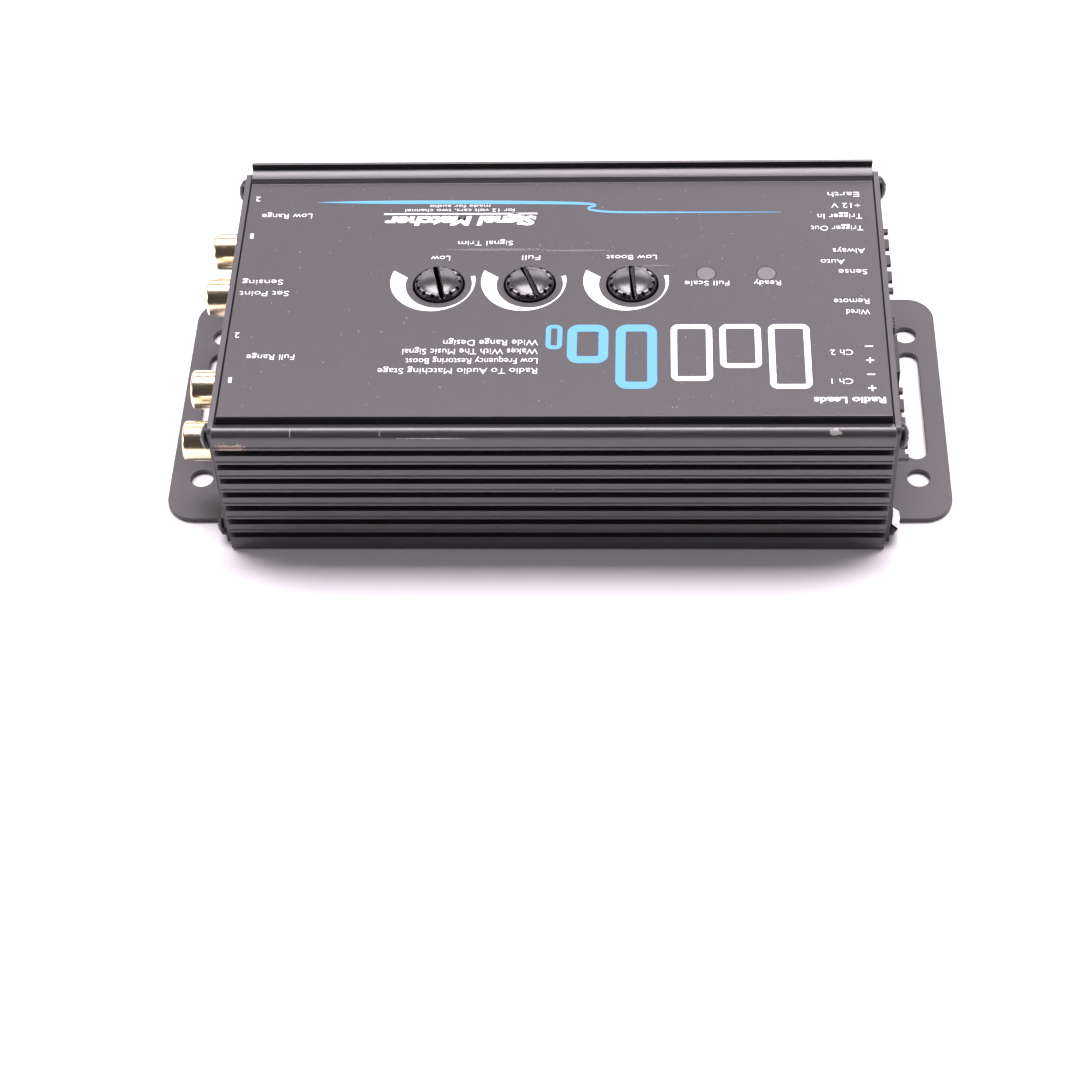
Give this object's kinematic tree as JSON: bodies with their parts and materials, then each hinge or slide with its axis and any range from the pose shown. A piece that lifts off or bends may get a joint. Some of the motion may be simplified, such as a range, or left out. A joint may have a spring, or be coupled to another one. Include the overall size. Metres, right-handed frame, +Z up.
{
  "type": "car audio line-level converter",
  "caption": "Ribbed black aluminium car audio converter with bent mounting feet, three level knobs, gold phono outputs and plug-in power and speaker terminals.",
  "frame": {"origin": "on the mounting face of the feet, under the middle of the case", "axes": "+Z up through the printed panel, +X towards the phono outputs, -Y the side from which the printed panel reads upright"},
  "size_m": [0.165, 0.082, 0.0353],
  "materials": {
    "case_anodise": "black anodised extrusion, fine satin",
    "base_sheet": "black anodised sheet",
    "plate_paint": "black powder-coated steel sheet, satin",
    "black_screws": "black oxide steel",
    "board_laminate": "green solder mask over glass laminate",
    "knob_gloss": "gloss black moulded nylon",
    "shaft_alloy": "turned alloy",
    "pot_moulding": "dark green moulded thermoset",
    "trimmer_blue": "blue moulded plastic",
    "rotor_white": "white moulded plastic",
    "socket_moulding": "black moulded nylon",
    "gold_plate": "polished gold plate over brass",
    "switch_can": "pressed plated steel can",
    "plug_moulding": "black moulded polyamide",
    "tinned_metal": "bright tin plate",
    "led_blue": "tinted clear epoxy",
    "led_red": "tinted clear epoxy",
    "window_smoke": "smoke grey moulded acrylic",
    "can_sleeve": "shrunk plastic sleeve over an aluminium can",
    "film_case": "dipped epoxy",
    "chip_epoxy": "moulded black epoxy",
    "ferrite": "sintered ferrite",
    "copper_wire": "enamelled copper wire",
    "bobbin_tape": "amber tape over a wound bobbin",
    "resistor_enamel": "grey-green enamel"
  },
  "bodies": {
    "case": {"case_shell": "case_anodise", "base_plate": "base_sheet", "output_end_plate": "plate_paint", "input_end_plate": "plate_paint", "output_plate_screws": "black_screws", "input_plate_screws": "black_screws", "circuit_board": "board_laminate", "bass_level_pot": "pot_moulding", "main_level_pot": "pot_moulding", "bass_boost_pot": "pot_moulding", "threshold_trimmer": "trimmer_blue", "main_rca_housing": "socket_moulding", "bass_rca_housing": "socket_moulding", "main_rca_shells": "gold_plate", "bass_rca_shells": "gold_plate", "rca_insulators": "rotor_white", "rca_contacts": "gold_plate", "turn_on_switch_body": "switch_can", "remote_jack_body": "socket_moulding", "remote_jack_contacts": "gold_plate", "power_header": "socket_moulding", "power_header_pins": "tinned_metal", "speaker_header": "socket_moulding", "speaker_header_pins": "tinned_metal", "power_led": "led_blue", "limit_led": "led_red", "power_window": "window_smoke", "limit_window": "window_smoke", "filter_capacitors": "can_sleeve", "film_capacitors": "film_case", "op_amps": "chip_epoxy", "op_amp_legs": "tinned_metal", "regulator_body": "socket_moulding", "regulator_tab": "shaft_alloy", "regulator_screw": "tinned_metal", "inductor_core": "ferrite", "inductor_winding": "copper_wire", "transformer_core": "ferrite", "transformer_bobbin": "bobbin_tape", "load_resistors": "resistor_enamel", "rectifier_diodes": "chip_epoxy", "switch_transistors": "chip_epoxy", "chip_components": "chip_epoxy"},
    "bass_knob": {"bass_level_knob": "knob_gloss", "bass_level_shaft": "shaft_alloy"},
    "main_knob": {"main_level_knob": "knob_gloss", "main_level_shaft": "shaft_alloy"},
    "boost_knob": {"bass_boost_knob": "knob_gloss", "bass_boost_shaft": "shaft_alloy"},
    "threshold_rotor": {"threshold_rotor": "rotor_white"},
    "turn_on_lever": {"turn_on_switch_lever": "plug_moulding"},
    "power_plug": {"power_plug": "plug_moulding", "power_plug_screws": "tinned_metal", "power_plug_clamps": "tinned_metal"},
    "speaker_plug": {"speaker_plug": "plug_moulding", "speaker_plug_screws": "tinned_metal", "speaker_plug_clamps": "tinned_metal"}
  },
  "joints": [
    {"name": "bass_level_turn", "type": "hinge", "parent": "case", "child": "bass_knob", "pos_m": [0.02465, -0.003, 0.0336], "axis": [0, 0, 1], "range_deg": [-162, 138]},
    {"name": "main_level_turn", "type": "hinge", "parent": "case", "child": "main_knob", "pos_m": [0.00565, -0.003, 0.0336], "axis": [0, 0, 1], "range_deg": [-172, 128]},
    {"name": "bass_boost_turn", "type": "hinge", "parent": "case", "child": "boost_knob", "pos_m": [-0.0157, -0.003, 0.0336], "axis": [0, 0, 1], "range_deg": [-154.3, 145.7]},
    {"name": "threshold_turn", "type": "hinge", "parent": "case", "child": "threshold_rotor", "pos_m": [0.0675, -0.0027, 0.0167], "axis": [1, 0, 0], "range_deg": [-135, 135]},
    {"name": "turn_on_slide", "type": "slide", "parent": "case", "child": "turn_on_lever", "axis": [0, 1, 0], "range_m": [0, 0.0025]},
    {"name": "power_plug_pull", "type": "slide", "parent": "case", "child": "power_plug", "axis": [-1, 0, 0], "range_m": [0, 0.014]},
    {"name": "speaker_plug_pull", "type": "slide", "parent": "case", "child": "speaker_plug", "axis": [-1, 0, 0], "range_m": [0, 0.014]}
  ]
}
